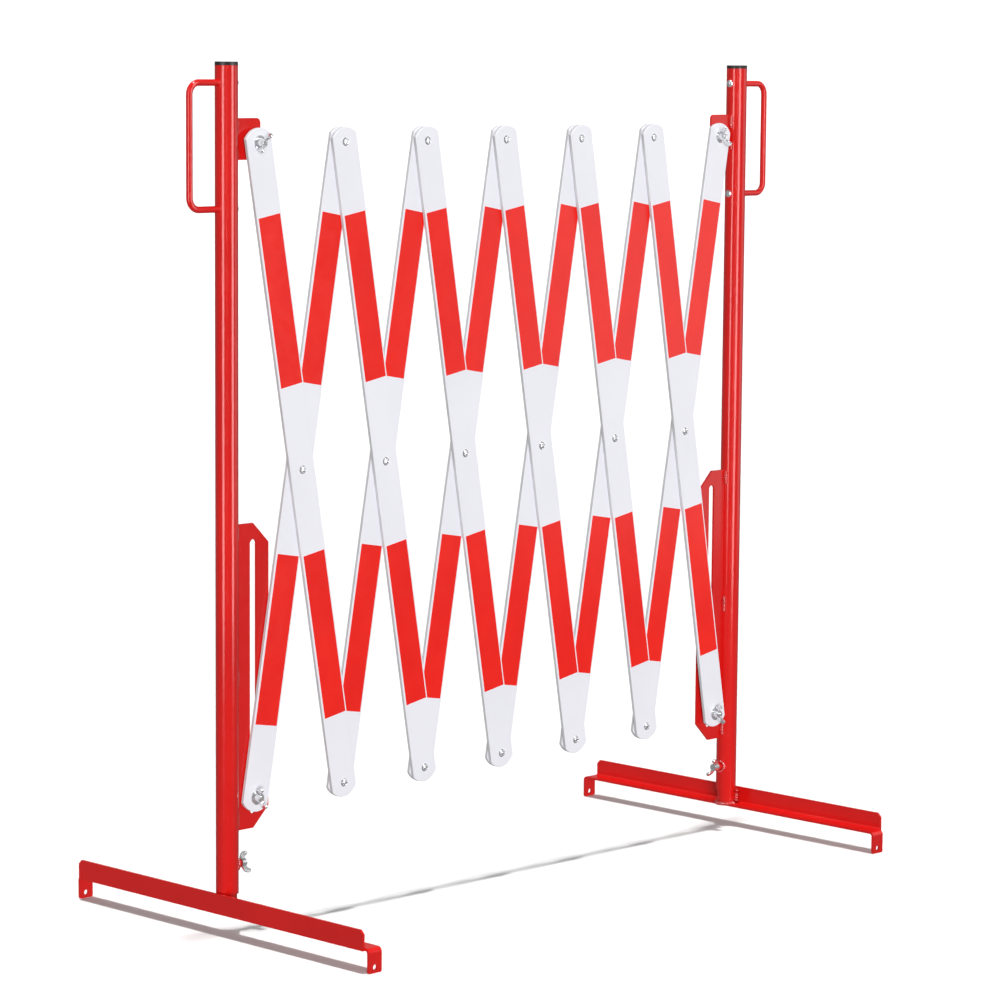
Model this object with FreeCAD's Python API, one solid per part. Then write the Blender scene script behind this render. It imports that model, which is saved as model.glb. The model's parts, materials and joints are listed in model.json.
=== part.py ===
"""Expanding scissor barrier: two tube posts on angle-iron feet, joined by a lattice of slats.

X runs along the barrier, -Y is the front face and Z is up. The origin is on the floor,
midway between the posts. All sizes are in millimetres.
"""
import FreeCAD, Part
import math
import os

V = FreeCAD.Vector

# Overall layout
CELLS = 6                     # crossed pairs of slats between the posts
TOTAL_HEIGHT = 1058.0
SLAT_PITCH = 810.0            # top pivot to bottom pivot along one slat
CELL_WIDTH = 141.0            # width of one crossed pair in the standing pose
PIVOT_INSET = 41.0            # end pivots measured inwards from the post axis
TOP_PIVOT_Z = 961.5

# Slats, lattice rivets and reflective bands
SLAT_WIDTH = 40.0
SLAT_THICKNESS = 5.0
SLAT_OVERHANG = 18.0
SLAT_END_RADIUS = 25.0
SLAT_EDGE = 0.6
LAYER_GAP = 1.0
RUNNING_GAP = 0.1
RIVET_RADIUS = 3.0
RIVET_HEAD_RADIUS = 5.3
RIVET_HEAD_HEIGHT = 2.4
RIVET_WASHER_RADIUS = 8.0
RIVET_TAIL_SMALLER = 0.6      # the rear heads are this much smaller all round
SHAFT_CLEARANCE = 0.06
BAND_WIDTH = 35.0
BAND_THICKNESS = 0.3
BAND_LENGTH = 210.0
BAND_FROM_MIDDLE = 106.0      # clear white length between a band and the middle pivot

# Posts
TUBE_RADIUS = 14.0
TUBE_WALL = 1.5
TUBE_BOTTOM = 50.0
CAP_RIM = 4.5
CAP_INSERT = 16.0
CAP_EDGE = 0.9
CAP_CLEARANCE = 0.05

# Handles
HANDLE_ROD_RADIUS = 4.0
HANDLE_REACH = 58.0
HANDLE_BEND = 14.5
HANDLE_TOP_Z = 1033.0
HANDLE_BOTTOM_Z = 883.0
SCREW_RADIUS = 2.5
SCREW_DEPTH = 14.0
SCREW_HEAD_RADIUS = 5.0
SCREW_HEAD_HEIGHT = 3.4
SCREW_HEAD_LIFT = 0.5         # the head's rim stands this far off the round of the tube
SCREW_SEAT_DEPTH = 2.0
DRIVE_DEPTH = 2.0
DRIVE_LENGTH = 5.0
DRIVE_WIDTH = 1.0

# Bracket plates
PLATE = 3.0
UPPER_REACH = 53.0
UPPER_LOW_Z = 941.0
UPPER_HIGH_Z = 991.0
UPPER_CORNER = 6.0
LONG_REACH = 66.0
LONG_LOW_Z = 125.0
LONG_HIGH_Z = 502.0
LONG_CHAMFER = 25.0
SLOT_WIDTH = 10.5
SLOT_LOW_Z = 143.0
SLOT_HIGH_Z = 482.0

# M6 bolts, wing nuts and clamp screws
BOLT_RADIUS = 3.0
BOLT_HEAD_FLATS = 10.0
BOLT_HEAD_HEIGHT = 4.0
BOLT_TAIL = 2.5
TIP_CHAMFER = 0.8
HEX_CORNER_SLOPE = 1.8        # how steeply the corners of a hexagon are turned off
WASHER_RADIUS = 9.0
WASHER_THICKNESS = 1.2
SPACER_RADIUS = 7.0
SLOT_BUSH_RADIUS = 5.0        # sleeve on the bottom bolts that runs in the slot
SLIDE_GAP = 0.3
WING_HUB_RADIUS = 5.8
WING_HUB_TOP_RADIUS = 4.8
WING_HUB_HEIGHT = 7.5
WING_THICKNESS = 2.8
WING_OUTLINE = {              # one wing: out from the hub's axis, up from the hub's base
    "start": (2.5, 0.8), "shoulder": (7.0, 2.0), "lower bow": (11.4, 5.0), "outer": (13.4, 9.6),
    "outer bow": (13.3, 12.3), "tip": (11.6, 13.5), "tip bow": (9.6, 13.2), "inner": (8.3, 11.6),
    "upper bow": (6.4, 8.4), "root": (2.5, 6.9)}
WING_TURN = {                 # how far each pair of wings is turned about its screw, degrees
    "left_top": -51.0, "left_bottom": 73.0, "right_top": 61.0, "right_bottom": 72.0,
    "left_clamp": 19.0, "right_clamp": -28.0}
CLAMP_Z = 84.0
CLAMP_NUT_FLATS = 10.0
CLAMP_NUT_HEIGHT = 6.0
CLAMP_TIP_GAP = 0.3
CLAMP_HEAD_GAP = 1.0          # between the clamp nut and the screw's wing hub

# Feet
SPIGOT_RADIUS = 12.0
SPIGOT_WALL = 2.0
SPIGOT_TOP = 150.0
ANGLE_LEG = 25.0
ANGLE_THICKNESS = 3.0
ANGLE_ROOT = 3.0
ANGLE_WEB_OUT = 20.0          # outer face of the upright leg, outwards from the post axis
FLANGE_UNDERSIDE = 27.0
WEB_HALF_LENGTH = 262.0
WEB_CHAMFER = 5.0
FOOT_HALF_LENGTH = 268.0
FOOT_BEND = 6.0
TAB_RELIEF = 4.0              # cut away beside the upright leg's end, so each tab can bend
TAB_CORNER = 2.5
TAB_HOLE_RADIUS = 3.5
TAB_HOLE_Z = 7.0

# Derived places
PIVOT_DROP = math.sqrt(SLAT_PITCH ** 2 - CELL_WIDTH ** 2)
BOTTOM_PIVOT_Z = TOP_PIVOT_Z - PIVOT_DROP
LEAN = math.degrees(math.asin(CELL_WIDTH / SLAT_PITCH))
FIRST_PIVOT_X = -CELLS * CELL_WIDTH / 2
POST_X = CELLS * CELL_WIDTH / 2 + PIVOT_INSET
PLATE_FRONT = -PLATE / 2
REAR_BACK = PLATE_FRONT - LAYER_GAP
REAR_FRONT = REAR_BACK - SLAT_THICKNESS
FRONT_BACK = REAR_FRONT - LAYER_GAP
FRONT_FRONT = FRONT_BACK - SLAT_THICKNESS
X_AXIS, Y_AXIS, Z_AXIS = V(1, 0, 0), V(0, 1, 0), V(0, 0, 1)
OVERLAP = 1.0                 # how far cutters and joined pieces run past each other
EMBED = 3.0                   # how far welded plates start inside the tube before it is cut away
TOUCH = 0.01                  # tolerance for picking edges by place
LEFT, RIGHT = -1, 1


def save(name, shape):
    """Writes one node as a STEP file."""
    if not shape.isValid():
        raise RuntimeError("invalid shape: " + name)
    shape.exportStep("parts/" + name + ".step")


def rod(radius, low, high, centre, axis):
    """A cylinder about a line through centre, from low to high along axis."""
    return Part.makeCylinder(radius, high - low, centre + axis * low, axis)


def ring(outer, inner, low, high, centre, axis):
    bore = rod(inner, low - OVERLAP, high + OVERLAP, centre, axis)
    return rod(outer, low, high, centre, axis).cut(bore)


def polygon(points):
    return Part.Wire(Part.makePolygon([V(*p) for p in points] + [V(*points[0])]))


def plate(wire, thickness_vector):
    return Part.Face(wire).extrude(thickness_vector)


def dome(radius, height, base, axis):
    """A shallow round head standing on a plane at base."""
    sphere_radius = (radius ** 2 + height ** 2) / (2 * height)
    ball = Part.makeSphere(sphere_radius, base + axis * (height - sphere_radius))
    return ball.common(rod(radius + OVERLAP, 0, height + OVERLAP, base, axis))


def hexagon(flats, height, base, axis):
    """A hexagonal prism with its two outer edges turned off at the corners."""
    corner = flats / math.sqrt(3)
    ring_points = [(corner * math.cos(math.radians(60 * k)), corner * math.sin(math.radians(60 * k)), 0)
                   for k in range(6)]
    prism = plate(polygon(ring_points), V(0, 0, height))
    turned = Part.makeCone(flats / 2 + height * HEX_CORNER_SLOPE, flats / 2, height)
    head = prism.common(turned)
    head.Placement = FreeCAD.Placement(base, FreeCAD.Rotation(Z_AXIS, axis))
    return head


def on_side(shape, side):
    """Shapes are drawn for the right-hand post; the left-hand one is their mirror image."""
    return shape if side == RIGHT else shape.mirror(V(0, 0, 0), X_AXIS)


# Lattice -------------------------------------------------------------------------------

def pivot_x(index):
    return FIRST_PIVOT_X + index * CELL_WIDTH


def hang(shape, top_index, runs_right):
    """Turns a slat drawn straight down from its top pivot into its standing angle."""
    placed = shape.copy()
    placed.rotate(V(0, 0, 0), Y_AXIS, -LEAN if runs_right else LEAN)
    placed.translate(V(pivot_x(top_index), 0, TOP_PIVOT_Z))
    return placed


def slat_outline(front_y):
    half = SLAT_WIDTH / 2
    sagitta = SLAT_END_RADIUS - math.sqrt(SLAT_END_RADIUS ** 2 - half ** 2)
    top_side = SLAT_OVERHANG - sagitta
    low_side = -SLAT_PITCH - top_side
    tip, low_tip = SLAT_OVERHANG, -SLAT_PITCH - SLAT_OVERHANG
    top_left, top_right = V(-half, front_y, top_side), V(half, front_y, top_side)
    low_left, low_right = V(-half, front_y, low_side), V(half, front_y, low_side)
    edges = [Part.Arc(top_left, V(0, front_y, tip), top_right).toShape(),
             Part.LineSegment(top_right, low_right).toShape(),
             Part.Arc(low_right, V(0, front_y, low_tip), low_left).toShape(),
             Part.LineSegment(low_left, top_left).toShape()]
    return Part.Wire(edges)


def slat(front_y, bolt_ends):
    """One slat with its three pivot holes; bolt_ends names the ends that take an M8 bolt."""
    body = plate(slat_outline(front_y), V(0, SLAT_THICKNESS, 0))
    rim = [e for e in body.Edges if abs(e.BoundBox.YLength) < TOUCH]
    body = body.makeChamfer(SLAT_EDGE, rim)
    for place, drop in (("top", 0.0), ("middle", SLAT_PITCH / 2), ("bottom", SLAT_PITCH)):
        shaft = BOLT_RADIUS if place in bolt_ends else RIVET_RADIUS
        hole = rod(shaft + SHAFT_CLEARANCE, front_y - OVERLAP, front_y + SLAT_THICKNESS + OVERLAP,
                   V(0, 0, -drop), Y_AXIS)
        body = body.cut(hole)
    return body


def bands(front_y):
    """The two red reflective bands stuck on a slat's front face."""
    strips = []
    for low_end in (BAND_FROM_MIDDLE, -BAND_FROM_MIDDLE - BAND_LENGTH):
        corner = V(-BAND_WIDTH / 2, front_y - BAND_THICKNESS, low_end - SLAT_PITCH / 2)
        strips.append(Part.makeBox(BAND_WIDTH, BAND_THICKNESS, BAND_LENGTH, corner))
    return Part.makeCompound(strips)


def rivet(drop):
    """A lattice rivet with its spacing washer, for two slats on one pivot."""
    centre = V(0, 0, -drop)
    shank = rod(RIVET_RADIUS, FRONT_FRONT, REAR_BACK + RUNNING_GAP, centre, Y_AXIS)
    front_head = dome(RIVET_HEAD_RADIUS, RIVET_HEAD_HEIGHT, centre + Y_AXIS * FRONT_FRONT, -Y_AXIS)
    tail = REAR_BACK + RUNNING_GAP
    rear_head = dome(RIVET_HEAD_RADIUS - RIVET_TAIL_SMALLER, RIVET_HEAD_HEIGHT - RIVET_TAIL_SMALLER,
                     centre + Y_AXIS * tail, Y_AXIS)
    washer = ring(RIVET_WASHER_RADIUS, RIVET_RADIUS + SHAFT_CLEARANCE,
                  FRONT_BACK, REAR_FRONT - RUNNING_GAP, centre, Y_AXIS)
    return [shank.fuse([front_head, rear_head]).removeSplitter(), washer]


def build_lattice():
    for number in range(1, CELLS + 1):
        front_bolts = (["top"] if number == 1 else []) + (["bottom"] if number == CELLS else [])
        rear_bolts = (["bottom"] if number == 1 else []) + (["top"] if number == CELLS else [])
        save("front_slat_%d" % number, hang(slat(FRONT_FRONT, front_bolts), number - 1, True))
        save("rear_slat_%d" % number, hang(slat(REAR_FRONT, rear_bolts), number, False))
        save("front_bands_%d" % number, hang(bands(FRONT_FRONT), number - 1, True))
        save("rear_bands_%d" % number, hang(bands(REAR_FRONT), number, False))
        drops = ([0.0] if number > 1 else []) + [SLAT_PITCH / 2]
        drops += [SLAT_PITCH] if number < CELLS else []
        pieces = [piece for drop in drops for piece in rivet(drop)]
        save("pivot_rivets_%d" % number, hang(Part.makeCompound(pieces), number - 1, True))


# Bolts and wing nuts -------------------------------------------------------------------

def bolt_set(x, z, slat_back, in_slot):
    """An M6 bolt from behind the plate with its washers and its spacer.

    A bolt in the slot has a sleeve that runs between the slot's sides, with a sliding gap to
    the plate on both faces; the others are clamped on the plate.
    """
    centre = V(x, 0, z)
    gap = SLIDE_GAP if in_slot else 0.0
    plate_back, plate_front = PLATE / 2 + gap, PLATE_FRONT - gap
    head_face = plate_back + WASHER_THICKNESS
    slat_front = slat_back - SLAT_THICKNESS
    washer_front = slat_front - RUNNING_GAP - WASHER_THICKNESS
    tip = washer_front - RUNNING_GAP - WING_HUB_HEIGHT - BOLT_TAIL
    shank = rod(BOLT_RADIUS, tip, head_face, centre, Y_AXIS)
    shank = shank.makeChamfer(TIP_CHAMFER, [e for e in shank.Edges if abs(e.BoundBox.YMax - tip) < TOUCH])
    head = hexagon(BOLT_HEAD_FLATS, BOLT_HEAD_HEIGHT, centre + Y_AXIS * head_face, Y_AXIS)
    bore = BOLT_RADIUS + SHAFT_CLEARANCE
    spacer = ring(SPACER_RADIUS, bore, slat_back + RUNNING_GAP, plate_front, centre, Y_AXIS)
    if in_slot:
        sleeve = ring(SLOT_BUSH_RADIUS, bore, plate_front - RUNNING_GAP, plate_back, centre, Y_AXIS)
        spacer = spacer.fuse(sleeve).removeSplitter()
    front_washer = ring(WASHER_RADIUS, bore, washer_front, slat_front - RUNNING_GAP, centre, Y_AXIS)
    rear_washer = ring(WASHER_RADIUS, bore, plate_back, head_face, centre, Y_AXIS)
    return Part.makeCompound([shank.fuse(head).removeSplitter(), spacer, front_washer, rear_washer])


def wing_pair():
    """Two wings in the XZ plane, rising from a hub that stands on the origin along +Z."""
    at = {name: V(out, 0, up) for name, (out, up) in WING_OUTLINE.items()}
    edges = [Part.LineSegment(at["start"], at["shoulder"]).toShape(),
             Part.Arc(at["shoulder"], at["lower bow"], at["outer"]).toShape(),
             Part.Arc(at["outer"], at["outer bow"], at["tip"]).toShape(),
             Part.Arc(at["tip"], at["tip bow"], at["inner"]).toShape(),
             Part.Arc(at["inner"], at["upper bow"], at["root"]).toShape(),
             Part.LineSegment(at["root"], at["start"]).toShape()]
    blade = Part.Face(Part.Wire(edges)).extrude(V(0, WING_THICKNESS, 0))
    blade.translate(V(0, -WING_THICKNESS / 2, 0))
    return [blade, blade.mirror(V(0, 0, 0), X_AXIS)]


def wing_hub():
    return Part.makeCone(WING_HUB_RADIUS, WING_HUB_TOP_RADIUS, WING_HUB_HEIGHT)


def wing_nut(x, z, slat_back, turn):
    """A wing nut whose wings point to the front, turned by an angle about its bolt."""
    body = wing_hub().fuse(wing_pair()).removeSplitter()
    bore = rod(BOLT_RADIUS + SHAFT_CLEARANCE, -OVERLAP, WING_HUB_HEIGHT + OVERLAP, V(0, 0, 0), Z_AXIS)
    body = body.cut(bore)
    base_y = slat_back - SLAT_THICKNESS - 2 * RUNNING_GAP - WASHER_THICKNESS
    body.rotate(V(0, 0, 0), X_AXIS, 90)
    body.rotate(V(0, 0, 0), Y_AXIS, turn)
    body.translate(V(x, base_y, z))
    return body


def clamp_screw(side, turn):
    """The wing screw that presses on the spigot through the post's inner side."""
    head_start = TUBE_RADIUS + CLAMP_NUT_HEIGHT + CLAMP_HEAD_GAP
    shank = Part.makeCylinder(BOLT_RADIUS, head_start - SPIGOT_RADIUS - CLAMP_TIP_GAP + OVERLAP,
                              V(0, 0, SPIGOT_RADIUS + CLAMP_TIP_GAP - head_start))
    body = wing_hub().fuse(wing_pair() + [shank]).removeSplitter()
    body.rotate(V(0, 0, 0), Z_AXIS, turn)
    body.rotate(V(0, 0, 0), Y_AXIS, -90)
    body.translate(V(POST_X - head_start, 0, CLAMP_Z))
    return on_side(body, side)


# Posts, drawn for the right-hand side --------------------------------------------------

def post_axis(z=0.0):
    return V(POST_X, 0, z)


def tube():
    shell = ring(TUBE_RADIUS, TUBE_RADIUS - TUBE_WALL, TUBE_BOTTOM, TOTAL_HEIGHT - CAP_RIM,
                 post_axis(), Z_AXIS)
    clamp_hole = rod(BOLT_RADIUS + SHAFT_CLEARANCE, -TUBE_RADIUS - OVERLAP, 0, post_axis(CLAMP_Z), X_AXIS)
    screw_holes = [rod(SCREW_RADIUS + SHAFT_CLEARANCE, -TUBE_RADIUS - OVERLAP, TUBE_RADIUS + OVERLAP,
                       post_axis(z), X_AXIS) for z in (HANDLE_BOTTOM_Z, HANDLE_TOP_Z)]
    return shell.cut([clamp_hole] + screw_holes)


def end_cap():
    """A moulded cap: a disc on the tube's mouth and a hollow skirt pressed inside it."""
    rim = rod(TUBE_RADIUS, TOTAL_HEIGHT - CAP_RIM, TOTAL_HEIGHT, post_axis(), Z_AXIS)
    rim = rim.makeFillet(CAP_EDGE, [e for e in rim.Edges if e.BoundBox.ZMin > TOTAL_HEIGHT - TOUCH])
    skirt_radius = TUBE_RADIUS - TUBE_WALL - CAP_CLEARANCE
    skirt = ring(skirt_radius, skirt_radius - TUBE_WALL, TOTAL_HEIGHT - CAP_RIM - CAP_INSERT,
                 TOTAL_HEIGHT - CAP_RIM + OVERLAP, post_axis(), Z_AXIS)
    return rim.fuse(skirt).removeSplitter()


def handle():
    """A bent rod whose two legs butt against the tube and take a screw in each end."""
    inner = POST_X + TUBE_RADIUS - EMBED
    outer = POST_X + HANDLE_REACH
    bend = HANDLE_BEND
    low, high = HANDLE_BOTTOM_Z, HANDLE_TOP_Z
    diagonal = bend * (1 - math.cos(math.radians(45)))
    points = [V(inner, 0, low), V(outer - bend, 0, low), V(outer - diagonal, 0, low + diagonal),
              V(outer, 0, low + bend), V(outer, 0, high - bend),
              V(outer - diagonal, 0, high - diagonal), V(outer - bend, 0, high), V(inner, 0, high)]
    path = Part.Wire([Part.LineSegment(points[0], points[1]).toShape(),
                      Part.Arc(points[1], points[2], points[3]).toShape(),
                      Part.LineSegment(points[3], points[4]).toShape(),
                      Part.Arc(points[4], points[5], points[6]).toShape(),
                      Part.LineSegment(points[6], points[7]).toShape()])
    section = Part.Wire(Part.Circle(points[0], X_AXIS, HANDLE_ROD_RADIUS).toShape())
    rod_body = path.makePipeShell([section], True, True)
    hollows = [rod(SCREW_RADIUS + SHAFT_CLEARANCE, 0, TUBE_RADIUS + SCREW_DEPTH + OVERLAP,
                   post_axis(z), X_AXIS) for z in (low, high)]
    return rod_body.cut([rod(TUBE_RADIUS, 0, TOTAL_HEIGHT, post_axis(), Z_AXIS)] + hollows)


def handle_screws():
    """Two pan-head screws from the post's inner side into the handle's ends."""
    screws = []
    for z in (HANDLE_BOTTOM_Z, HANDLE_TOP_Z):
        rim = -TUBE_RADIUS - SCREW_HEAD_LIFT
        shank = rod(SCREW_RADIUS, rim, TUBE_RADIUS + SCREW_DEPTH, post_axis(z), X_AXIS)
        head = dome(SCREW_HEAD_RADIUS, SCREW_HEAD_HEIGHT, post_axis(z) + X_AXIS * rim, -X_AXIS)
        seat = rod(SCREW_HEAD_RADIUS, rim, SCREW_SEAT_DEPTH - TUBE_RADIUS, post_axis(z), X_AXIS)
        screw = shank.fuse([head, against_tube(seat)])
        drive_x = rim - SCREW_HEAD_HEIGHT - OVERLAP
        depth, half, thin = DRIVE_DEPTH + OVERLAP, DRIVE_LENGTH / 2, DRIVE_WIDTH / 2
        cross = [Part.makeBox(depth, 2 * wide, 2 * tall, post_axis(z) + V(drive_x, -wide, -tall))
                 for wide, tall in ((thin, half), (half, thin))]
        screws.append(screw.cut(cross).removeSplitter())
    return Part.makeCompound(screws)


def against_tube(flat):
    return flat.cut(rod(TUBE_RADIUS, 0, TOTAL_HEIGHT, post_axis(), Z_AXIS))


def upper_bracket():
    """A rounded plate welded to the post's inner side; it carries the top end pivot."""
    inner, outer = POST_X - TUBE_RADIUS + EMBED, POST_X - UPPER_REACH
    flat = Part.makeBox(inner - outer, PLATE, UPPER_HIGH_Z - UPPER_LOW_Z, V(outer, PLATE_FRONT, UPPER_LOW_Z))
    corners = [e for e in flat.Edges if e.BoundBox.YLength > PLATE / 2 and e.BoundBox.XMax < outer + TOUCH]
    flat = flat.makeFillet(UPPER_CORNER, corners)
    hole = rod(BOLT_RADIUS + SHAFT_CLEARANCE, -PLATE, PLATE, V(POST_X - PIVOT_INSET, 0, TOP_PIVOT_Z), Y_AXIS)
    return against_tube(flat).cut(hole)


def slotted_bracket():
    """A long plate with a slot in which the bottom end pivot rises as the lattice opens."""
    inner, outer = POST_X - TUBE_RADIUS + EMBED, POST_X - LONG_REACH
    cut = LONG_CHAMFER
    outline = [(inner, LONG_LOW_Z), (outer + cut, LONG_LOW_Z), (outer, LONG_LOW_Z + cut),
               (outer, LONG_HIGH_Z - cut), (outer + cut, LONG_HIGH_Z), (inner, LONG_HIGH_Z)]
    flat = plate(polygon([(x, PLATE_FRONT, z) for x, z in outline]), V(0, PLATE, 0))
    slot_x, slot_radius = POST_X - PIVOT_INSET, SLOT_WIDTH / 2
    low, high = SLOT_LOW_Z + slot_radius, SLOT_HIGH_Z - slot_radius
    slot = Part.makeBox(SLOT_WIDTH, 2 * PLATE, high - low, V(slot_x - slot_radius, -PLATE, low))
    ends = [rod(slot_radius, -PLATE, PLATE, V(slot_x, 0, z), Y_AXIS) for z in (low, high)]
    return against_tube(flat).cut([slot] + ends)


def clamp_nut():
    """The threaded nut welded over the clamp screw's hole."""
    seat = post_axis(CLAMP_Z) - X_AXIS * (TUBE_RADIUS - EMBED)
    block = hexagon(CLAMP_NUT_FLATS, CLAMP_NUT_HEIGHT + EMBED, seat, -X_AXIS)
    bore = rod(BOLT_RADIUS + SHAFT_CLEARANCE, -2 * TUBE_RADIUS, 0, post_axis(CLAMP_Z), X_AXIS)
    return against_tube(block).cut(bore)


def build_post(side):
    name = "left" if side == LEFT else "right"
    save(name + "_tube", on_side(tube(), side))
    save(name + "_end_cap", on_side(end_cap(), side))
    save(name + "_handle", on_side(handle(), side))
    save(name + "_handle_screws", on_side(handle_screws(), side))
    save(name + "_upper_bracket", on_side(upper_bracket(), side))
    save(name + "_slotted_bracket", on_side(slotted_bracket(), side))
    save(name + "_clamp_nut", on_side(clamp_nut(), side))


def build_hardware():
    """The four corner pivots and both clamp screws.

    Front-layer slats end at the top left and the bottom right, rear-layer slats at the others.
    """
    corners = (("left_top", LEFT, TOP_PIVOT_Z, FRONT_BACK, False),
               ("left_bottom", LEFT, BOTTOM_PIVOT_Z, REAR_BACK, True),
               ("right_top", RIGHT, TOP_PIVOT_Z, REAR_BACK, False),
               ("right_bottom", RIGHT, BOTTOM_PIVOT_Z, FRONT_BACK, True))
    for name, side, z, slat_back, in_slot in corners:
        x = side * (POST_X - PIVOT_INSET)
        save(name + "_bolt", bolt_set(x, z, slat_back, in_slot))
        save(name + "_wing_nut", wing_nut(x, z, slat_back, WING_TURN[name]))
    save("left_clamp_screw", clamp_screw(LEFT, WING_TURN["left_clamp"]))
    save("right_clamp_screw", clamp_screw(RIGHT, WING_TURN["right_clamp"]))


# Feet, drawn for the right-hand side ---------------------------------------------------

def foot_strip():
    """The angle's flat leg, turned down at both ends into the tabs it stands on."""
    top, under = FLANGE_UNDERSIDE + ANGLE_THICKNESS, FLANGE_UNDERSIDE
    inner_bend = FOOT_BEND - ANGLE_THICKNESS
    x = POST_X + ANGLE_WEB_OUT - ANGLE_LEG
    edges = []

    def corner(y_side, radius, z_level):
        """The arc from the flat leg into one tab, for one face of the strip."""
        y_arc = FOOT_HALF_LENGTH - FOOT_BEND
        slant = radius * math.cos(math.radians(45))
        centre_z = z_level - radius
        return (V(x, y_side * y_arc, z_level), V(x, y_side * (y_arc + slant), centre_z + slant),
                V(x, y_side * (y_arc + radius), centre_z))

    outer_left, outer_right = corner(-1, FOOT_BEND, top), corner(1, FOOT_BEND, top)
    inner_left, inner_right = corner(-1, inner_bend, under), corner(1, inner_bend, under)
    for arc in (outer_left, outer_right, inner_left, inner_right):
        edges.append(Part.Arc(*arc).toShape())
    edges.append(Part.LineSegment(outer_left[0], outer_right[0]).toShape())
    edges.append(Part.LineSegment(inner_left[0], inner_right[0]).toShape())
    for outer, inner in ((outer_left[2], inner_left[2]), (outer_right[2], inner_right[2])):
        outer_foot, inner_foot = V(x, outer.y, 0), V(x, inner.y, 0)
        edges.append(Part.LineSegment(outer, outer_foot).toShape())
        edges.append(Part.LineSegment(inner, inner_foot).toShape())
        edges.append(Part.LineSegment(outer_foot, inner_foot).toShape())
    wire = Part.Wire(Part.__sortEdges__(edges))
    strip = plate(wire, V(ANGLE_LEG, 0, 0))
    tab_width = ANGLE_LEG - TAB_RELIEF
    notch_length = FOOT_HALF_LENGTH - WEB_HALF_LENGTH + OVERLAP
    for start in (WEB_HALF_LENGTH, -WEB_HALF_LENGTH - notch_length):
        notch = Part.makeBox(TAB_RELIEF + OVERLAP, notch_length, top + 2 * OVERLAP,
                             V(x + tab_width, start, -OVERLAP))
        strip = strip.cut(notch)
    corners = [e for e in strip.Edges if e.BoundBox.ZMax < TOUCH
               and abs(e.BoundBox.YLength - ANGLE_THICKNESS) < TOUCH]
    strip = strip.makeFillet(TAB_CORNER, corners)
    tab_middle = V(x + tab_width / 2, 0, TAB_HOLE_Z)
    return strip.cut(rod(TAB_HOLE_RADIUS, -2 * FOOT_HALF_LENGTH, 2 * FOOT_HALF_LENGTH, tab_middle, Y_AXIS))


def foot_angle():
    outer = POST_X + ANGLE_WEB_OUT
    low, high = FLANGE_UNDERSIDE, FLANGE_UNDERSIDE + ANGLE_LEG
    half, cut = WEB_HALF_LENGTH, WEB_CHAMFER
    outline = [(-half, low), (half, low), (half, high - cut), (half - cut, high),
               (cut - half, high), (-half, high - cut)]
    web = plate(polygon([(outer - ANGLE_THICKNESS, y, z) for y, z in outline]), V(ANGLE_THICKNESS, 0, 0))
    root_x, root_z = outer - ANGLE_THICKNESS, low + ANGLE_THICKNESS
    root = Part.makeBox(ANGLE_ROOT, 2 * half, ANGLE_ROOT, V(root_x - ANGLE_ROOT, -half, root_z))
    root_axis = V(root_x - ANGLE_ROOT, 0, root_z + ANGLE_ROOT)
    root = root.cut(rod(ANGLE_ROOT, -half - OVERLAP, half + OVERLAP, root_axis, Y_AXIS))
    return foot_strip().fuse([web, root]).removeSplitter()


def spigot():
    """The short tube welded on the foot, over which the post slides."""
    floor = FLANGE_UNDERSIDE + ANGLE_THICKNESS
    stub = ring(SPIGOT_RADIUS, SPIGOT_RADIUS - SPIGOT_WALL, floor, SPIGOT_TOP, post_axis(), Z_AXIS)
    mouth = [e for e in stub.Edges if e.BoundBox.ZMin > SPIGOT_TOP - TOUCH
             and e.BoundBox.XLength > 2 * SPIGOT_RADIUS - SPIGOT_WALL]
    return stub.makeChamfer(TIP_CHAMFER, mouth)


def build_foot(side):
    name = "left" if side == LEFT else "right"
    save(name + "_foot_angle", on_side(foot_angle(), side))
    save(name + "_spigot", on_side(spigot(), side))


os.makedirs("parts", exist_ok=True)
build_lattice()
for post_side in (LEFT, RIGHT):
    build_post(post_side)
    build_foot(post_side)
build_hardware()
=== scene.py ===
"""The looks of the expanding scissor barrier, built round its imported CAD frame. Metres throughout."""
import bpy
import json
import math
import random
from mathutils import Matrix, Vector


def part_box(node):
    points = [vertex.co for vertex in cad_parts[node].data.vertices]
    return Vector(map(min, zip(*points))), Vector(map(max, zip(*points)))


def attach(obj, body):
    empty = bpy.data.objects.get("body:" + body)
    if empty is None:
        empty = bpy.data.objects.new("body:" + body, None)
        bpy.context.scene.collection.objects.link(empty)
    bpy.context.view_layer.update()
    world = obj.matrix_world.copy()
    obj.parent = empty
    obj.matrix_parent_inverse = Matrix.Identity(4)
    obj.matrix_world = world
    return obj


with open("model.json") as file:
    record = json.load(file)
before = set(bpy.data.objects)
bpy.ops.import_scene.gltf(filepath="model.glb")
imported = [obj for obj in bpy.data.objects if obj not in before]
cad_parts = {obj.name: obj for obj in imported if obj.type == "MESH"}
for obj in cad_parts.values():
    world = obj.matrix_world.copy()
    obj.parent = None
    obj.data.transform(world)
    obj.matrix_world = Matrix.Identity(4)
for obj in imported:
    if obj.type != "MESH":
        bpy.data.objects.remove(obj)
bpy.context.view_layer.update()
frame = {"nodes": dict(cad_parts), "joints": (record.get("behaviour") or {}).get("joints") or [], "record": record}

MM = 0.001
SIDES = (("left", -1), ("right", 1))
CELLS = range(1, 7)
random.seed(7)


# Places read from the frame -------------------------------------------------------------

def middle(node):
    low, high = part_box(node)
    return (low + high) / 2


def joint(name):
    return next(j for j in frame["joints"] if j["name"] == name)


# Procedural materials -------------------------------------------------------------------

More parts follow.
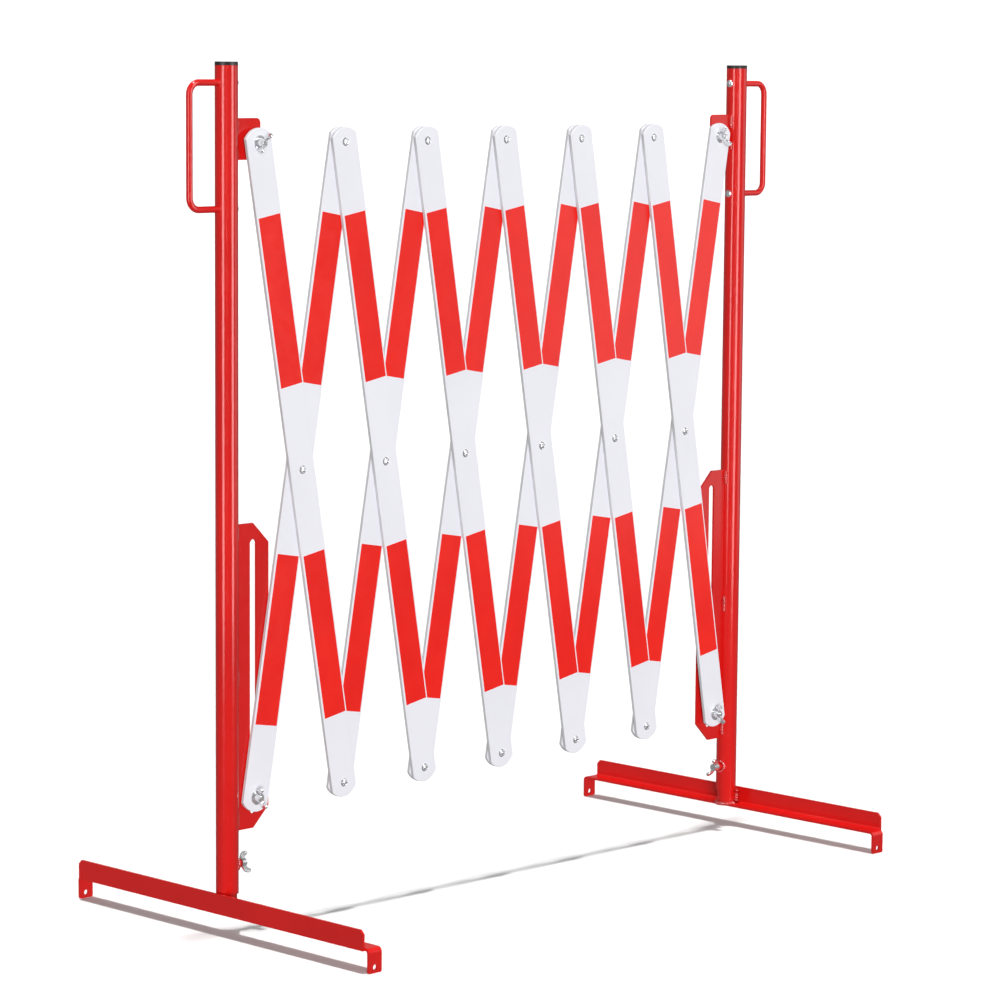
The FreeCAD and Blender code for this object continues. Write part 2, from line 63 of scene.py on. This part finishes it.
class Shader:
    """A material with a Principled shader, fed by noise in the object's own space."""

    def __init__(self, name, **constants):
        self.material = bpy.data.materials.new(name)
        self.material.use_nodes = True
        self.tree = self.material.node_tree
        self.shader = self.tree.nodes["Principled BSDF"]
        for socket, value in constants.items():
            self.shader.inputs[socket.replace("_", " ")].default_value = value
        where = self.add("ShaderNodeTexCoord")
        self.place, self.normal = where.outputs["Object"], where.outputs["Normal"]

    def add(self, kind, **settings):
        node = self.tree.nodes.new(kind)
        for key, value in settings.items():
            setattr(node, key, value)
        return node

    def link(self, output, target):
        self.tree.links.new(output, target)

    def noise(self, scale, detail=3.0, rough=0.5, stretch=(1, 1, 1)):
        mapping = self.add("ShaderNodeMapping")
        mapping.inputs["Scale"].default_value = stretch
        self.link(self.place, mapping.inputs["Vector"])
        noise = self.add("ShaderNodeTexNoise")
        noise.inputs["Scale"].default_value = scale
        noise.inputs["Detail"].default_value = detail
        noise.inputs["Roughness"].default_value = rough
        self.link(mapping.outputs["Vector"], noise.inputs["Vector"])
        return noise.outputs["Fac"]

    def ramp(self, factor, stops):
        ramp = self.add("ShaderNodeValToRGB")
        while len(ramp.color_ramp.elements) < len(stops):
            ramp.color_ramp.elements.new(0.5)
        for element, (position, colour) in zip(ramp.color_ramp.elements, stops):
            element.position = position
            element.color = (*colour, 1)
        self.link(factor, ramp.inputs["Fac"])
        return ramp.outputs["Color"]

    def spread(self, factor, low, high):
        """Maps a noise's middle range onto low to high."""
        scale = self.add("ShaderNodeMapRange")
        scale.inputs["From Min"].default_value = 0.3
        scale.inputs["From Max"].default_value = 0.7
        scale.inputs["To Min"].default_value = low
        scale.inputs["To Max"].default_value = high
        self.link(factor, scale.inputs["Value"])
        return scale.outputs["Result"]

    def facing_y(self, none, full):
        """Rises from 0 to 1 as a face turns square to the object's own Y axis."""
        parts = self.add("ShaderNodeSeparateXYZ")
        self.link(self.normal, parts.inputs["Vector"])
        size = self.add("ShaderNodeMath", operation="ABSOLUTE")
        self.link(parts.outputs["Y"], size.inputs[0])
        scale = self.add("ShaderNodeMapRange")
        scale.inputs["From Min"].default_value = none
        scale.inputs["From Max"].default_value = full
        self.link(size.outputs[0], scale.inputs["Value"])
        return scale.outputs["Result"]

    def blend(self, factor, first, second):
        mix = self.add("ShaderNodeMix", data_type="RGBA")
        self.link(factor, mix.inputs[0])
        self.link(first, mix.inputs[6])
        self.link(second, mix.inputs[7])
        return mix.outputs[2]

    def colour(self, output):
        self.link(output, self.shader.inputs["Base Color"])
        return self

    def rough(self, output):
        self.link(output, self.shader.inputs["Roughness"])
        return self

    def bump(self, *layers):
        """Each layer is (height output, depth in metres, strength)."""
        normal = None
        for height, depth, strength in layers:
            node = self.add("ShaderNodeBump")
            node.inputs["Strength"].default_value = strength
            node.inputs["Distance"].default_value = depth
            self.link(height, node.inputs["Height"])
            if normal is not None:
                self.link(normal, node.inputs["Normal"])
            normal = node.outputs["Normal"]
        self.link(normal, self.shader.inputs["Normal"])
        return self


def red_paint():
    """Glossy red powder coat with a fine orange peel and slightly uneven colour."""
    s = Shader("red_powder_coat", Specular_IOR_Level=0.5)
    s.colour(s.ramp(s.noise(9.0, 4.0), [(0.3, (0.59, 0.006, 0.005)), (0.7, (0.67, 0.009, 0.007))]))
    s.rough(s.spread(s.noise(60.0, 3.0), 0.13, 0.20))
    return s.bump((s.noise(420.0, 2.0), 0.00025, 0.12), (s.noise(35.0, 2.0), 0.0006, 0.08)).material


def weld_paint():
    """The same red pooled thicker and glossier over the weld ripples."""
    s = Shader("red_powder_coat_on_weld", Specular_IOR_Level=1.0, Coat_Weight=1.0, Coat_IOR=1.9,
               Coat_Roughness=0.08)
    s.colour(s.ramp(s.noise(90.0, 4.0), [(0.3, (0.50, 0.004, 0.003)), (0.7, (0.66, 0.009, 0.007))]))
    s.rough(s.spread(s.noise(200.0, 3.0), 0.08, 0.16))
    return s.bump((s.noise(650.0, 2.0), 0.0004, 0.35)).material


def white_paint():
    """White powder coat on the slats, faintly cool, with painted shade that greys the narrow edges."""
    s = Shader("white_powder_coat", Specular_IOR_Level=0.35)
    face = s.ramp(s.noise(6.0, 5.0), [(0.25, (0.80, 0.798, 0.855)), (0.75, (0.85, 0.848, 0.905))])
    # Painted shade: faces turned away from the object's Y axis, which are the slats' narrow edges, are coloured
    # grey in place of the shade they fall in.
    painted_edge_shade = s.ramp(s.noise(40.0, 4.0), [(0.3, (0.52, 0.52, 0.54)), (0.7, (0.60, 0.60, 0.62))])
    s.colour(s.blend(s.facing_y(0.35, 0.85), painted_edge_shade, face))
    s.rough(s.spread(s.noise(25.0, 5.0, 0.6), 0.38, 0.54))
    return s.bump((s.noise(520.0, 2.0), 0.0002, 0.10), (s.noise(28.0, 2.0), 0.0004, 0.06)).material


def red_film():
    """Red reflective film: a smooth face over very fine beads, with small tonal drift."""
    s = Shader("red_reflective_film", Specular_IOR_Level=0.5)
    s.colour(s.ramp(s.noise(14.0, 4.0), [(0.3, (0.81, 0.006, 0.002)), (0.7, (0.89, 0.012, 0.004))]))
    s.rough(s.spread(s.noise(80.0, 3.0), 0.20, 0.26))
    return s.bump((s.noise(1500.0, 1.0), 0.00008, 0.10), (s.noise(18.0, 2.0), 0.0004, 0.06)).material


def black_plastic():
    s = Shader("black_moulded_plastic", Specular_IOR_Level=0.45)
    s.colour(s.ramp(s.noise(40.0, 4.0), [(0.3, (0.008, 0.008, 0.008)), (0.7, (0.018, 0.016, 0.016))]))
    s.rough(s.spread(s.noise(120.0, 3.0), 0.38, 0.55))
    return s.bump((s.noise(900.0, 2.0), 0.0001, 0.3)).material


def bright_metal(name, dark, light, low, high):
    """Zinc plated steel: cloudy tone, fine grain and an uneven polish."""
    s = Shader(name, Metallic=0.88)
    s.colour(s.ramp(s.noise(160.0, 4.0), [(0.3, dark), (0.7, light)]))
    s.rough(s.spread(s.noise(300.0, 3.0), low, high))
    return s.bump((s.noise(700.0, 3.0), 0.0002, 0.18)).material


def pale_floor():
    s = Shader("pale_floor", Specular_IOR_Level=0.2)
    s.colour(s.ramp(s.noise(1.5, 3.0), [(0.3, (0.90, 0.90, 0.90)), (0.7, (0.93, 0.93, 0.93))]))
    s.rough(s.spread(s.noise(4.0, 2.0), 0.75, 0.9))
    return s.bump((s.noise(60.0, 2.0), 0.0003, 0.05)).material


MATERIALS = {
    "red_paint": red_paint(),
    "weld_paint": weld_paint(),
    "white_slat": white_paint(),
    "red_film": red_film(),
    "black_plastic": black_plastic(),
    "zinc_plate": bright_metal("zinc_plate", (0.70, 0.71, 0.73), (0.90, 0.91, 0.93), 0.12, 0.26),
    "rivet_steel": bright_metal("rivet_steel", (0.66, 0.66, 0.69), (0.84, 0.84, 0.87), 0.12, 0.26),
}


def dress(obj, slot):
    obj.data.materials.clear()
    obj.data.materials.append(MATERIALS[slot])
    return obj


CAST_EDGE = 0.45 * MM
SHARP_ANGLE = 40      # degrees between faces


def soften(obj, width):
    """Rounds the sharp edges of a casting."""
    bevel = obj.modifiers.new("soft edges", "BEVEL")
    bevel.width = width
    bevel.segments = 3
    bevel.limit_method = "ANGLE"
    bevel.angle_limit = math.radians(SHARP_ANGLE)
    bevel.use_clamp_overlap = True
    bevel.harden_normals = False


def finish_cad_nodes():
    """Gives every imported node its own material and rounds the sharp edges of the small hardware."""
    for part in frame["record"]["subparts"]:
        obj = frame["nodes"][part["node"]]
        dress(obj, part["material_slot"])
        if part["node"].endswith(("_wing_nut", "_clamp_screw")):
            soften(obj, CAST_EDGE)


# Mesh helpers ---------------------------------------------------------------------------

def make_piece(name, points, faces, slot, body):
    mesh = bpy.data.meshes.new(name)
    mesh.from_pydata([tuple(p) for p in points], [], faces)
    mesh.validate()
    mesh.update()
    mesh.polygons.foreach_set("use_smooth", [True] * len(mesh.polygons))
    obj = bpy.data.objects.new(name, mesh)
    bpy.context.scene.collection.objects.link(obj)
    dress(obj, slot)
    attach(obj, body)
    return obj


def swept_tube(path, radii, sides, normal):
    """Points and faces of a closed tube along a path; normal is roughly square to the path."""
    points, faces = [], []
    count = len(path)
    for k, place in enumerate(path):
        along = (path[min(k + 1, count - 1)] - path[max(k - 1, 0)]).normalized()
        across = along.cross(normal).normalized()
        lift = across.cross(along)
        for s in range(sides):
            turn = 2 * math.pi * s / sides
            points.append(place + radii[k] * (across * math.cos(turn) + lift * math.sin(turn)))
    for k in range(count - 1):
        for s in range(sides):
            after = (s + 1) % sides
            faces.append((k * sides + s, k * sides + after, (k + 1) * sides + after, (k + 1) * sides + s))
    faces.append(tuple(reversed(range(sides))))
    faces.append(tuple((count - 1) * sides + s for s in range(sides)))
    return points, faces


WELD_SIDES = 14
WELD_PITCH = 3.0 * MM      # from one ripple to the next
WELD_VALLEY = 0.62         # share of the radius between two ripples
WELD_UNEVEN = 0.04
WELD_TIP = 0.3             # share of the radius where a bead starts
WELD_SWELL = 7             # how fast it swells from there to its full radius


def weld_bead(name, path, radius, normal, body):
    """A run of overlapping weld ripples along a path, thin where it starts and stops."""
    steps = len(path)
    phase = random.uniform(0, math.tau)
    radii, travelled = [], 0.0
    for k in range(steps):
        travelled += (path[k] - path[k - 1]).length if k else 0.0
        share = k / (steps - 1)
        ends = min(1.0, WELD_SWELL * share + WELD_TIP, WELD_SWELL * (1 - share) + WELD_TIP)
        crest = abs(math.sin(phase + math.pi * travelled / WELD_PITCH))
        ripple = WELD_VALLEY + (1 - WELD_VALLEY) * crest
        radii.append(radius * ends * (ripple + random.uniform(-WELD_UNEVEN, WELD_UNEVEN)))
    points, faces = swept_tube(path, radii, WELD_SIDES, normal)
    return dress(make_piece(name, points, faces, "red_paint", body), "weld_paint")


def line(start, end, steps, wobble):
    return [start.lerp(end, k / (steps - 1)) + Vector([random.uniform(-wobble, wobble) for _ in range(3)])
            for k in range(steps)]


# Welds ----------------------------------------------------------------------------------

BRACKET_BEAD = {"left": 2.3 * MM, "right": 3.3 * MM}      # the right-hand beads are the heavier ones
BRACKET_BEAD_OUT = 1.7 * MM      # from the plate's face to the bead's middle
BRACKET_BEAD_SINK = 0.5 * MM     # from the bead's middle to the tube's surface
BEAD_STEP = 0.45 * MM
FEWEST_STEPS = 14
# Where each bead runs, as shares of the plate's height.
BRACKET_SPANS = {
    "_upper_bracket": ((0.04, 0.24), (0.62, 0.97)),
    "_slotted_bracket": ((0.008, 0.066), (0.47, 0.53), (0.945, 0.994)),
}


def bracket_welds(side, sign):
    """Beads at both faces of each bracket plate, where it meets the post."""
    post = middle(side + "_tube").x
    low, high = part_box(side + "_tube")
    tube_radius = (high.x - low.x) / 2
    runs = []
    for node, spans in BRACKET_SPANS.items():
        bottom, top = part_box(side + node)
        height = top.z - bottom.z
        for number, (start, end) in enumerate(spans, 1):
            for face, y, outward in (("front", bottom.y, -1), ("rear", top.y, 1)):
                y += outward * BRACKET_BEAD_OUT
                x = post - sign * (math.sqrt(tube_radius ** 2 - y ** 2) + BRACKET_BEAD_SINK)
                ends = [Vector((x, y, bottom.z + share * height)) for share in (start, end)]
                steps = max(FEWEST_STEPS, int((end - start) * height / BEAD_STEP))
                runs.append((side + node + "_weld_%d_%s" % (number, face), line(*ends, steps, 0.1 * MM)))
    for name, path in runs:
        weld_bead(name, path, BRACKET_BEAD[side], Vector((0, 1, 0)), side + "_post")


NUT_BEAD = 2.3 * MM
NUT_BEAD_OUT = 1.4 * MM          # from the nut's side to the bead's middle
NUT_BEAD_SINK = 0.4 * MM
NUT_BEAD_STEPS = 80


def clamp_nut_weld(side, sign):
    """A ring bead round the clamp nut's seat, wrapped on the tube."""
    nut_low, nut_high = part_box(side + "_clamp_nut")
    centre = (nut_low + nut_high) / 2
    low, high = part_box(side + "_tube")
    post, radius = (low.x + high.x) / 2, (high.x - low.x) / 2
    ring = (nut_high.z - nut_low.z) / 2 + NUT_BEAD_OUT
    path = []
    for k in range(NUT_BEAD_STEPS + 1):
        turn = math.tau * k / NUT_BEAD_STEPS
        y, z = ring * math.cos(turn), ring * math.sin(turn)
        x = post - sign * (math.sqrt(radius ** 2 - y ** 2) + NUT_BEAD_SINK)
        path.append(Vector((x, y, centre.z + z)))
    weld_bead(side + "_clamp_nut_weld", path, NUT_BEAD, Vector((1, 0, 0)), side + "_post")


BASE_BEAD = 3.0 * MM
BASE_BEAD_OUT = 0.9 * MM         # from the spigot's side to the bead's middle
BASE_BEAD_LIFT = 1.1 * MM        # above the foot's flange
BASE_BEAD_REACH = 118            # degrees each way from the side away from the upright leg
BASE_BEAD_STEPS = 120
LEG_BEAD = 4.0 * MM
LEG_BEAD_Y = 8.6 * MM            # from the spigot's axis, along the foot
LEG_BEAD_STEPS = 44
LEG_THICKNESS = 3.2 * MM         # of the foot's upright leg, with its corner
LEG_BEAD_ENDS = (1 * MM, 2 * MM)     # above the flange, and below the leg's top


def spigot_welds(side, sign):
    """The bead round the spigot's base and the two fillets against the foot's upright leg."""
    low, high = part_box(side + "_spigot")
    centre, radius = (low + high) / 2, (high.x - low.x) / 2
    foot_low, foot_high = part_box(side + "_foot_angle")
    body = side + "_foot"
    ring = radius + BASE_BEAD_OUT
    path = []
    for k in range(BASE_BEAD_STEPS + 1):
        turn = math.radians(180 - BASE_BEAD_REACH + 2 * BASE_BEAD_REACH * k / BASE_BEAD_STEPS)
        path.append(Vector((centre.x + sign * ring * math.cos(turn), ring * math.sin(turn),
                            low.z + BASE_BEAD_LIFT)))
    weld_bead(side + "_spigot_base_weld", path, BASE_BEAD, Vector((0, 0, 1)), body)
    leg = (foot_high.x if sign > 0 else foot_low.x) - sign * LEG_THICKNESS
    levels = (low.z + LEG_BEAD_ENDS[0], foot_high.z - LEG_BEAD_ENDS[1])
    for face, outward in (("front", -1), ("rear", 1)):
        y = outward * LEG_BEAD_Y
        near = centre.x + sign * math.sqrt(radius ** 2 - y ** 2)
        ends = [Vector(((near + leg) / 2, y, level)) for level in levels]
        weld_bead(side + "_spigot_web_weld_" + face, line(*ends, LEG_BEAD_STEPS, 0.2 * MM), LEG_BEAD,
                  Vector((0, 1, 0)), body)


# Rivets ---------------------------------------------------------------------------------

RIM_RADIUS = 3.1 * MM
RIM_WIRE = 0.95 * MM
RIM_PETALS = 6
RIM_DIP_IN = 0.25 * MM           # how far each split draws the rim in
RIM_DIP_BACK = 0.75              # and back, as a share of the head's height
RIM_SEAT = 0.34                  # the rim's place behind the head's tip, as a share of its height


def rolled_rim(name, centre, head_height, body):
    """The rolled, slightly split edge of a tubular rivet, standing on its domed head."""
    turn_on = random.uniform(0, math.tau)
    around, sides = 60, 10
    points, faces = [], []
    for k in range(around):
        turn = math.tau * k / around
        dip = max(0.0, math.cos(RIM_PETALS * turn + turn_on)) ** 6
        outward = Vector((math.cos(turn), 0, math.sin(turn)))
        back = Vector((0, RIM_DIP_BACK * head_height * dip, 0))
        seat = centre + outward * (RIM_RADIUS - RIM_DIP_IN * dip) + back
        for s in range(sides):
            roll = math.tau * s / sides
            points.append(seat + RIM_WIRE * (outward * math.cos(roll) + Vector((0, -math.sin(roll), 0))))
    for k in range(around):
        for s in range(sides):
            along, after = (k + 1) % around, (s + 1) % sides
            faces.append((k * sides + s, k * sides + after, along * sides + after, along * sides + s))
    make_piece(name, points, faces, "rivet_steel", body)


def rivet_rims():
    """One rolled rim on every rivet head of the front layer."""
    for cell in CELLS:
        rivets_low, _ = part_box("pivot_rivets_%d" % cell)
        slat_low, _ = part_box("front_slat_%d" % cell)
        head_height = slat_low.y - rivets_low.y
        cross = Vector(joint("cross_pivot_%d" % cell)["pos_m"])
        top_name = "top_pivot_%d" % (cell - 1) if cell > 1 else "lattice_fold"
        top = Vector(joint(top_name)["pos_m"])
        places = {"middle": cross}
        if cell > 1:
            places["top"] = top
        if cell < len(CELLS):
            places["bottom"] = 2 * cross - top
        for place, spot in places.items():
            centre = Vector((spot.x, rivets_low.y + RIM_SEAT * head_height, spot.z))
            rolled_rim("rivet_rim_%d_%s" % (cell, place), centre, head_height, "front_slat_%d" % cell)


# Threads --------------------------------------------------------------------------------

THREAD_LENGTH = 1.7 * MM
THREAD_PITCH = 1.0 * MM
THREAD_ROOT = 2.95 * MM
THREAD_DEPTH = 0.32 * MM
THREAD_START = 0.75 * MM         # behind the bolt's tip
ROWS_PER_TURN = 8
ROWS_TO_FADE = 6


def thread(name, start, axis, body):
    """A helical ridge on a plain shank, as a fine sawtooth screw surface."""
    sides = 20
    rows = int(THREAD_LENGTH / THREAD_PITCH * ROWS_PER_TURN) + 1
    side_a = axis.orthogonal().normalized()
    side_b = axis.cross(side_a)
    points, faces = [], []
    for row in range(rows):
        for s in range(sides):
            turn = math.tau * s / sides
            rise = THREAD_PITCH * row / ROWS_PER_TURN
            phase = (row / ROWS_PER_TURN - s / sides) % 1.0
            ridge = 1 - abs(2 * phase - 1)
            fade = min(1.0, row / ROWS_TO_FADE, (rows - 1 - row) / ROWS_TO_FADE)
            r = THREAD_ROOT + THREAD_DEPTH * ridge * fade
            points.append(start + axis * rise + r * (side_a * math.cos(turn) + side_b * math.sin(turn)))
    for row in range(rows - 1):
        for s in range(sides):
            after, above = (s + 1) % sides, (row + 1) * sides
            faces.append((row * sides + s, row * sides + after, above + after, above + s))
    faces.append(tuple(reversed(range(sides))))
    faces.append(tuple((rows - 1) * sides + s for s in range(sides)))
    make_piece(name, points, faces, "zinc_plate", body)


def bolt_threads():
    """The exposed thread in front of each wing nut."""
    for corner, body in (("left_top", "left_post"), ("right_top", "right_post"),
                         ("left_bottom", "rear_slat_1"), ("right_bottom", "front_slat_6")):
        bolt_low, bolt_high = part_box(corner + "_bolt")
        centre = (bolt_low + bolt_high) / 2
        start = Vector((centre.x, bolt_low.y + THREAD_START, centre.z))
        thread(corner + "_bolt_thread", start, Vector((0, 1, 0)), body)


# Studio ---------------------------------------------------------------------------------

def build_floor():
    """A pale floor that sweeps up gently, far out, to stand behind the whole view."""
    flat, sweep, rise = 4.0, 12.0, 3.2
    steps, segments = 12, 96
    rings = [flat / 2, flat] + [flat + sweep * k / steps for k in range(1, steps + 1)]
    points = [Vector((r * math.cos(math.tau * s / segments), r * math.sin(math.tau * s / segments),
                      rise * (max(0.0, r - flat) / sweep) ** 2))
              for r in rings for s in range(segments)]
    points.append(Vector((0, 0, 0)))
    faces = []
    for row in range(len(rings) - 1):
        for s in range(segments):
            after = (s + 1) % segments
            faces.append((row * segments + s, (row + 1) * segments + s,
                          (row + 1) * segments + after, row * segments + after))
    faces += [(len(points) - 1, s, (s + 1) % segments) for s in range(segments)]
    mesh = bpy.data.meshes.new("floor")
    mesh.from_pydata([tuple(p) for p in points], [], faces)
    mesh.polygons.foreach_set("use_smooth", [True] * len(mesh.polygons))
    floor = bpy.data.objects.new("floor", mesh)
    floor.visible_glossy = False
    floor.visible_diffuse = False
    floor.visible_shadow = False
    bpy.context.scene.collection.objects.link(floor)
    floor.data.materials.append(pale_floor())


def softbox(name, place, aim, width, height, power):
    light = bpy.data.lights.new(name, "AREA")
    light.shape = "RECTANGLE"
    light.size, light.size_y = width, height
    light.energy = power
    obj = bpy.data.objects.new(name, light)
    obj.location = place
    obj.rotation_euler = (Vector(aim) - Vector(place)).to_track_quat("-Z", "Y").to_euler()
    obj.visible_camera = False
    bpy.context.scene.collection.objects.link(obj)
    return obj


def far_light(name, towards, strength, spread_degrees):
    """A distant light; towards is the way from the object to it."""
    sun = bpy.data.lights.new(name, "SUN")
    sun.energy = strength
    sun.angle = math.radians(spread_degrees)
    obj = bpy.data.objects.new(name, sun)
    obj.rotation_euler = Vector(towards).to_track_quat("Z", "Y").to_euler()
    bpy.context.scene.collection.objects.link(obj)
    return obj


def build_lights():
    """Two narrow panels for the gloss, a third at the right, and distant lights for the tone."""
    shine = softbox("left_shine", place=(-2.35, -0.50, 1.28), aim=(0, 0, 1.28),
                    width=0.62, height=2.5, power=36)
    shine.visible_diffuse = False
    front = softbox("front_shine", place=(0.18, -1.55, 1.30), aim=(-0.2, 0, 1.30),
                    width=0.62, height=2.4, power=32)
    front.visible_diffuse = False
    softbox("right_panel", place=(2.42, -1.32, 1.0), aim=(0.2, 0, 0.8), width=1.6, height=1.85, power=8)
    fill = far_light("soft_fill", towards=(-0.6, -0.8, 0.06), strength=2.85, spread_degrees=24)
    fill.visible_glossy = False
    far_light("overhead", towards=(0, -0.008, 1), strength=2.7, spread_degrees=2.4)
    rear = far_light("rear_glow", towards=(0.25, 1, 0.02), strength=1.7, spread_degrees=60)
    rear.visible_glossy = False
    world = bpy.data.worlds.new("studio")
    world.use_nodes = True
    background = world.node_tree.nodes["Background"]
    background.inputs["Color"].default_value = (1, 1, 1, 1)
    background.inputs["Strength"].default_value = 0.24
    bpy.context.scene.world = world


CAMERA_PLACE = Vector((-3.326, -3.263, 1.059))
CAMERA_YAW, CAMERA_PITCH, CAMERA_ROLL = (math.radians(a) for a in (45.605, -6.894, 0.449))
CAMERA_LENS, CAMERA_SENSOR = 130.2, 36.0
FAR_CLIP = 60


def build_camera():
    data = bpy.data.cameras.new("camera")
    data.lens = CAMERA_LENS
    data.sensor_width = CAMERA_SENSOR
    data.clip_end = FAR_CLIP
    ahead = Vector((math.sin(CAMERA_YAW) * math.cos(CAMERA_PITCH),
                    math.cos(CAMERA_YAW) * math.cos(CAMERA_PITCH), math.sin(CAMERA_PITCH)))
    level = Vector((math.cos(CAMERA_YAW), -math.sin(CAMERA_YAW), 0))
    up = level.cross(ahead)
    right = level * math.cos(CAMERA_ROLL) + up * math.sin(CAMERA_ROLL)
    up = right.cross(ahead)
    camera = bpy.data.objects.new("camera", data)
    turn = Matrix((right, up, -ahead)).transposed().to_4x4()
    camera.matrix_world = Matrix.Translation(CAMERA_PLACE) @ turn
    bpy.context.scene.collection.objects.link(camera)
    bpy.context.scene.camera = camera


build_camera()
build_floor()
build_lights()
finish_cad_nodes()
for side_name, side_sign in SIDES:
    bracket_welds(side_name, side_sign)
    clamp_nut_weld(side_name, side_sign)
    spigot_welds(side_name, side_sign)
bolt_threads()
rivet_rims()
bpy.context.scene.view_settings.view_transform = "Standard"
